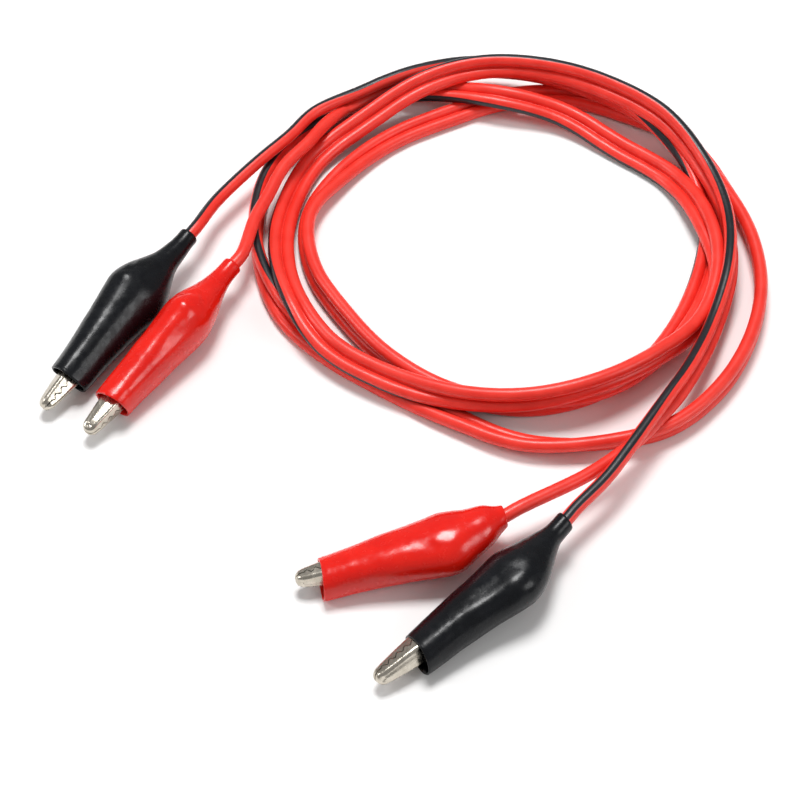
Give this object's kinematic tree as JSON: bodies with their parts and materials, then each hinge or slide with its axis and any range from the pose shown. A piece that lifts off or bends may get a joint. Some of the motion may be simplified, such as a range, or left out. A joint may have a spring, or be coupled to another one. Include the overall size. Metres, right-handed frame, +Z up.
{
  "type": "alligator clip test lead",
  "caption": "Loosely coiled twin test lead, split at both ends, with a sprung alligator clip in a soft boot on each core.",
  "frame": {"origin": "on the surface it lies on, under the middle of the four clips", "axes": "+Z up from the surface, -Y towards the near pair of clips, +X from the far pair towards the coil"},
  "size_m": [0.1217, 0.1314, 0.0109],
  "materials": {
    "nickel": "nickel-plated steel sheet",
    "spring_steel": "bright drawn wire",
    "copper": "bare stranded copper",
    "black_pvc": "soft semi-gloss PVC",
    "red_pvc": "soft glossy PVC",
    "cord_pvc": "satin PVC insulation"
  },
  "bodies": {
    "lead": {"far_black_fixed_jaw": "nickel", "far_black_hinge_pin": "spring_steel", "far_black_torsion_spring": "spring_steel", "far_black_boot": "black_pvc", "far_black_conductor": "copper", "far_black_tail": "cord_pvc", "far_red_fixed_jaw": "nickel", "far_red_hinge_pin": "spring_steel", "far_red_torsion_spring": "spring_steel", "far_red_boot": "red_pvc", "far_red_conductor": "copper", "far_red_tail": "cord_pvc", "near_red_fixed_jaw": "nickel", "near_red_hinge_pin": "spring_steel", "near_red_torsion_spring": "spring_steel", "near_red_boot": "red_pvc", "near_red_conductor": "copper", "near_red_tail": "cord_pvc", "near_black_fixed_jaw": "nickel", "near_black_hinge_pin": "spring_steel", "near_black_torsion_spring": "spring_steel", "near_black_boot": "black_pvc", "near_black_conductor": "copper", "near_black_tail": "cord_pvc", "zip_cord": "cord_pvc"},
    "far_black_jaw": {"far_black_moving_jaw": "nickel"},
    "far_red_jaw": {"far_red_moving_jaw": "nickel"},
    "near_red_jaw": {"near_red_moving_jaw": "nickel"},
    "near_black_jaw": {"near_black_moving_jaw": "nickel"}
  },
  "joints": [
    {"name": "far_black_hinge", "type": "hinge", "parent": "lead", "child": "far_black_jaw", "pos_m": [-0.03325, 0.0233, 0.0041], "axis": [-0.5353, 0.4284, -0.728], "range_deg": [0, 24], "stiffness_Nm_per_rad": 0.05, "springref_deg": -34.38, "deforming": ["far_black_torsion_spring", "far_black_boot"]},
    {"name": "far_red_hinge", "type": "hinge", "parent": "lead", "child": "far_red_jaw", "pos_m": [-0.0253, 0.0179, 0.00436], "axis": [-0.8251, 0.565, 0], "range_deg": [0, 24], "stiffness_Nm_per_rad": 0.05, "springref_deg": -34.38, "deforming": ["far_red_torsion_spring", "far_red_boot"]},
    {"name": "near_red_hinge", "type": "hinge", "parent": "lead", "child": "near_red_jaw", "pos_m": [0.0156, -0.02045, 0.00403], "axis": [-0.1361, 0.1433, 0.9803], "range_deg": [0, 24], "stiffness_Nm_per_rad": 0.05, "springref_deg": -34.38, "deforming": ["near_red_torsion_spring", "near_red_boot"]},
    {"name": "near_black_hinge", "type": "hinge", "parent": "lead", "child": "near_black_jaw", "pos_m": [0.02595, -0.03095, 0.00395], "axis": [-0.3405, 0.2649, 0.9021], "range_deg": [0, 24], "stiffness_Nm_per_rad": 0.05, "springref_deg": -34.38, "deforming": ["near_black_torsion_spring", "near_black_boot"]}
  ]
}
